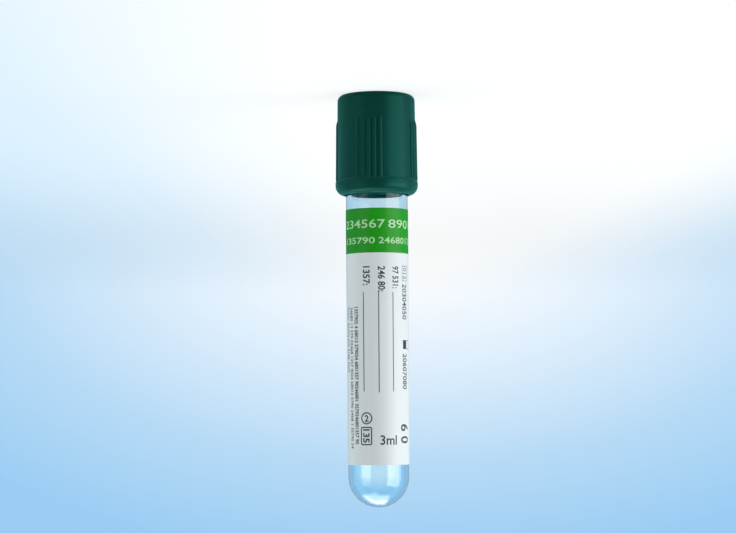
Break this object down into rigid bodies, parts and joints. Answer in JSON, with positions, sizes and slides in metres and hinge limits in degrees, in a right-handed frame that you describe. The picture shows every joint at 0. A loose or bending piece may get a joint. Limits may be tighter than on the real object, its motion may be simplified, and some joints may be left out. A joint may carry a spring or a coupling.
{
  "type": "blood collection tube",
  "caption": "Evacuated blood collection tube standing upside down on its cap: clear round-bottom tube, rubber stopper, ribbed green safety cap, wrap label with a green band.",
  "frame": {"origin": "middle of the bounding box's underside, on the tube's axis and on the floor that the cap's flat top stands on", "axes": "+Z along the tube's axis from the cap to the dome, -Y out of the middle of the label's front, +X to the right of that front as the part stands, which is the left of its print"},
  "size_m": [0.0174, 0.0174, 0.0865],
  "materials": {
    "clear_plastic": "clear glossy PET plastic, faint blue",
    "green_rubber": "smooth dark green rubber, satin",
    "green_plastic": "moulded dark green plastic, semi-gloss",
    "label_film": "smooth coated label stock with a printed green band"
  },
  "bodies": {
    "cap": {"cap": "green_plastic"},
    "stopper": {"stopper": "green_rubber"},
    "tube": {"tube": "clear_plastic", "label": "label_film"}
  },
  "joints": [
    {"name": "cap_twist", "type": "hinge", "parent": "cap", "child": "stopper", "pos_m": [0, 0, 0.0212], "axis": [0, 0, 1], "continuous": true},
    {"name": "closure_pull", "type": "slide", "parent": "stopper", "child": "tube", "axis": [0, 0, 1], "range_m": [0, 0.02]}
  ]
}
